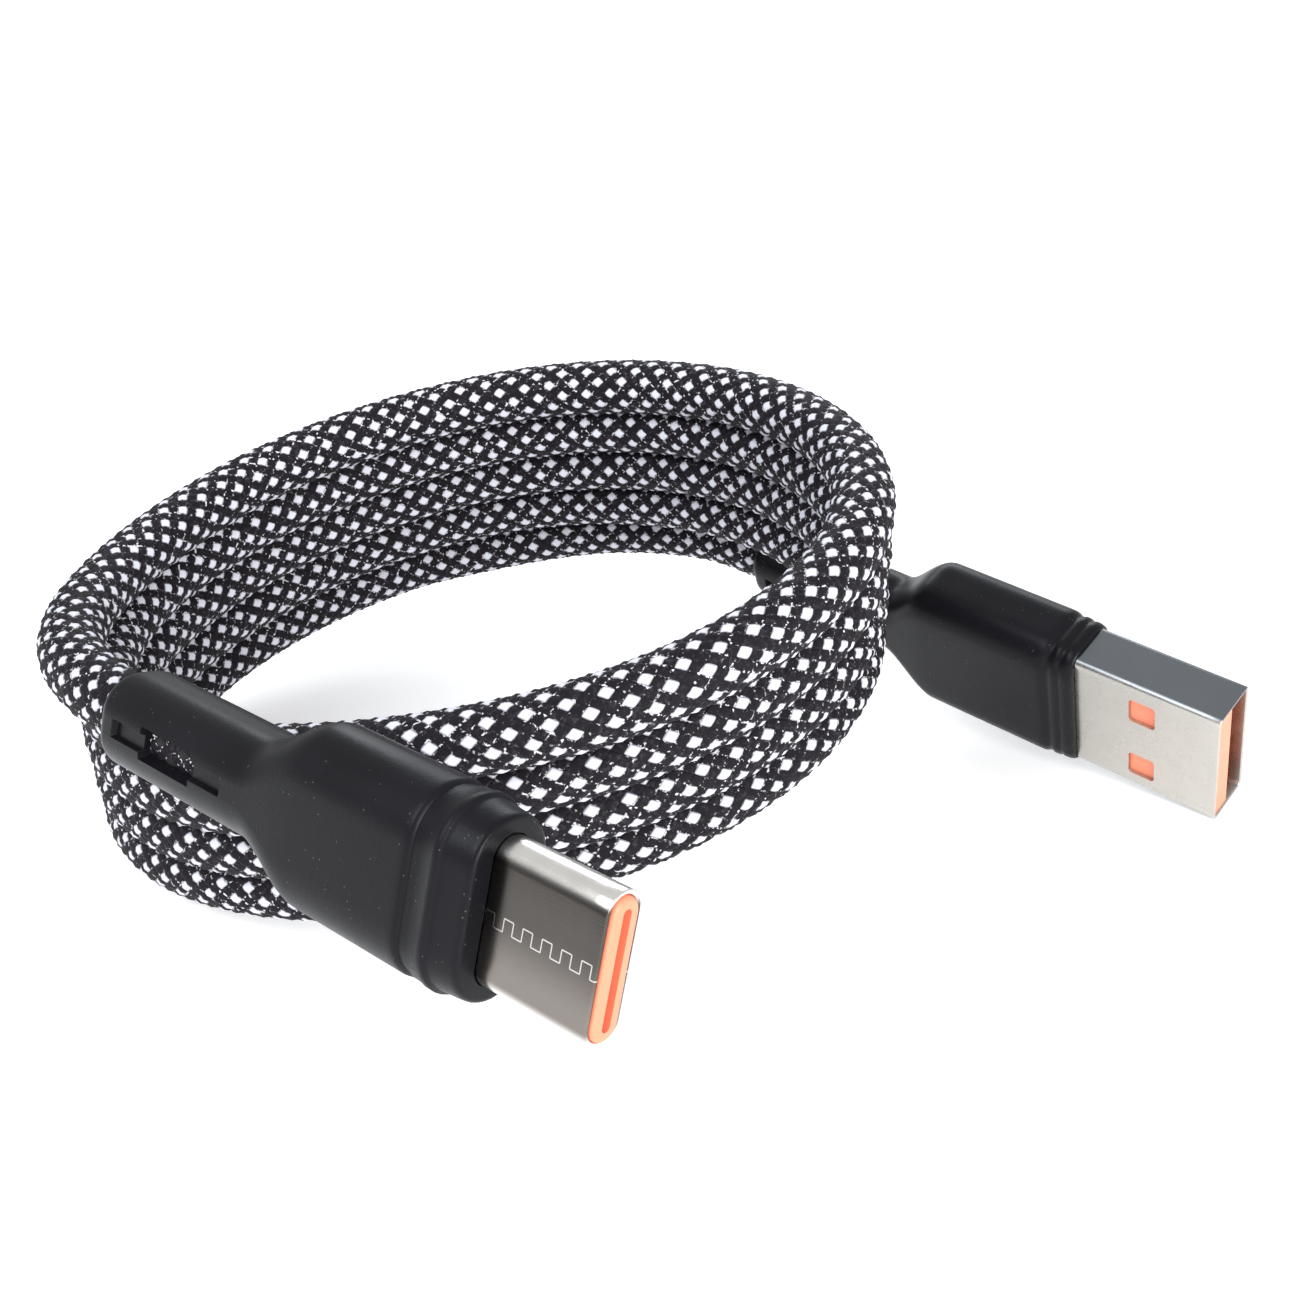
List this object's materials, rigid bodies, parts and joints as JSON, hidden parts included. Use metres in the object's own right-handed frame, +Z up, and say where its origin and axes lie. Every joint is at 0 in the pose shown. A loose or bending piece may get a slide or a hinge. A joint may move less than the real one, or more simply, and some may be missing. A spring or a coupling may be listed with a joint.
{
  "type": "charging cable",
  "caption": "Braided charging cable wound into a band of stacked turns, with a USB-A plug on one end and a USB-C plug on the other.",
  "frame": {"origin": "on the surface that the cable lies on, under the middle of the two plugs' footprint", "axes": "+Z up; -Y is the front, where the USB-C plug lies; +X is the side that both plugs point to"},
  "size_m": [0.0905, 0.0863, 0.0324],
  "materials": {
    "braid": "black braid with white squares",
    "nickel": "polished nickel plating",
    "orange_insulator": "satin",
    "gold_contact": "gold plating",
    "circuit_board": "solder mask",
    "resistor": "ceramic",
    "solder": "bright solder",
    "wire_insulation": "satin",
    "spring_steel": "stamped",
    "inner_moulding": "moulded",
    "black_grip": "satin moulded"
  },
  "bodies": {
    "cord": {"cord_coil": "braid", "cord_lead_a": "braid", "cord_lead_c": "braid"},
    "usb_a_plug": {"cord_end_a": "braid", "usb_a_shell": "nickel", "usb_a_insulator": "orange_insulator", "usb_a_contacts": "gold_contact", "usb_a_circuit_board": "circuit_board", "usb_a_resistor": "resistor", "usb_a_solder_joints": "solder", "usb_a_wires": "wire_insulation", "usb_a_crimp": "spring_steel", "usb_a_inner_mould": "inner_moulding", "usb_a_grip": "black_grip"},
    "usb_c_plug": {"cord_end_c": "braid", "usb_c_shell": "nickel", "usb_c_insulator": "orange_insulator", "usb_c_upper_contacts": "gold_contact", "usb_c_lower_contacts": "gold_contact", "usb_c_latch_frame": "spring_steel", "usb_c_circuit_board": "circuit_board", "usb_c_resistor": "resistor", "usb_c_solder_joints": "solder", "usb_c_wires": "wire_insulation", "usb_c_crimp": "spring_steel", "usb_c_inner_mould": "inner_moulding", "usb_c_grip": "black_grip"}
  },
  "joints": [
    {"name": "usb_a_swing", "type": "hinge", "parent": "cord", "child": "usb_a_plug", "pos_m": [-0.01015, 0.04465, 0.0114], "axis": [0, 0, 1], "range_deg": [0, 35], "deforming": ["cord_lead_a"]},
    {"name": "usb_c_swing", "type": "hinge", "parent": "cord", "child": "usb_c_plug", "pos_m": [-0.04745, 0.01025, 0.0206], "axis": [0, 0, -1], "range_deg": [0, 35], "deforming": ["cord_lead_c"]}
  ]
}
